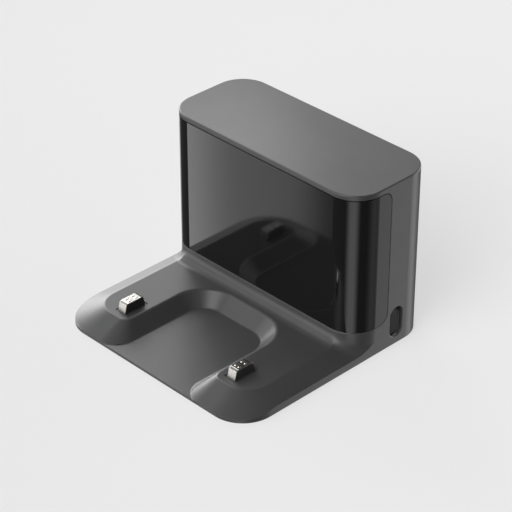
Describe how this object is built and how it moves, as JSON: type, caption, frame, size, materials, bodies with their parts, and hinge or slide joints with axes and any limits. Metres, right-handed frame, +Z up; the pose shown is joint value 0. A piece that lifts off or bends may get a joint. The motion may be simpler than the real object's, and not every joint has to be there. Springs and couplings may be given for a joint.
{
  "type": "robot vacuum charging dock",
  "caption": "Charging dock with a rounded tower, a dark window bent round its front, two sloped wings with sprung contacts beside a front channel, and a cord bay open at the back.",
  "frame": {"origin": "on the floor, below the middle of the dock's outline", "axes": "+X to the right seen from the front, -Y towards the robot, +Z up"},
  "size_m": [0.15, 0.1464, 0.1064],
  "materials": {
    "housing_plastic": "fine moulded texture",
    "window_gloss": "polished",
    "cover_plastic": "moulded",
    "foot_rubber": "matt",
    "liner_plastic": "moulded",
    "inlet_plastic": "moulded",
    "pin_brass": "turned",
    "board_laminate": "solder mask",
    "ferrite": "sintered",
    "winding_tape": "taped",
    "capacitor_can": "sleeved",
    "choke_winding": "enamelled wire",
    "component_black": "moulded",
    "heat_sink_aluminium": "extruded",
    "connector_white": "moulded",
    "shroud_plastic": "moulded",
    "led_epoxy": "clear tinted",
    "lead_insulation": "drawn",
    "contact_plate": "nickel plated",
    "carrier_plastic": "moulded",
    "spring_steel": "drawn",
    "terminal_brass": "stamped",
    "screw_steel": "zinc plated"
  },
  "bodies": {
    "dock": {"upper_housing": "housing_plastic", "front_window": "window_gloss", "bottom_cover": "cover_plastic", "rubber_feet": "foot_rubber", "cord_bay_liner": "liner_plastic", "mains_inlet": "inlet_plastic", "inlet_pins": "pin_brass", "power_board": "board_laminate", "beacon_board": "board_laminate", "transformer_core": "ferrite", "transformer_winding": "winding_tape", "mains_capacitor": "capacitor_can", "output_capacitors": "capacitor_can", "line_choke": "choke_winding", "fuse": "component_black", "bridge_rectifier": "component_black", "heat_sink": "heat_sink_aluminium", "board_connectors": "connector_white", "beacon_connector": "connector_white", "light_shroud": "shroud_plastic", "infrared_leds": "led_epoxy", "beacon_lead": "lead_insulation", "left_contact_lead": "lead_insulation", "right_contact_lead": "lead_insulation", "left_contact_spring": "spring_steel", "right_contact_spring": "spring_steel", "left_contact_terminal": "terminal_brass", "right_contact_terminal": "terminal_brass", "cover_screws": "screw_steel", "board_screws": "screw_steel", "beacon_screws": "screw_steel"},
    "left_contact": {"left_contact_strip": "contact_plate", "left_contact_carrier": "carrier_plastic"},
    "right_contact": {"right_contact_strip": "contact_plate", "right_contact_carrier": "carrier_plastic"}
  },
  "joints": [
    {"name": "left_contact_press", "type": "slide", "parent": "dock", "child": "left_contact", "axis": [0, 0, -1], "range_m": [0, 0.0025], "stiffness_N_per_m": 250, "springref_m": -0.002, "deforming": ["left_contact_spring"]},
    {"name": "right_contact_press", "type": "slide", "parent": "dock", "child": "right_contact", "axis": [0, 0, -1], "range_m": [0, 0.0025], "stiffness_N_per_m": 250, "springref_m": -0.002, "deforming": ["right_contact_spring"]}
  ]
}
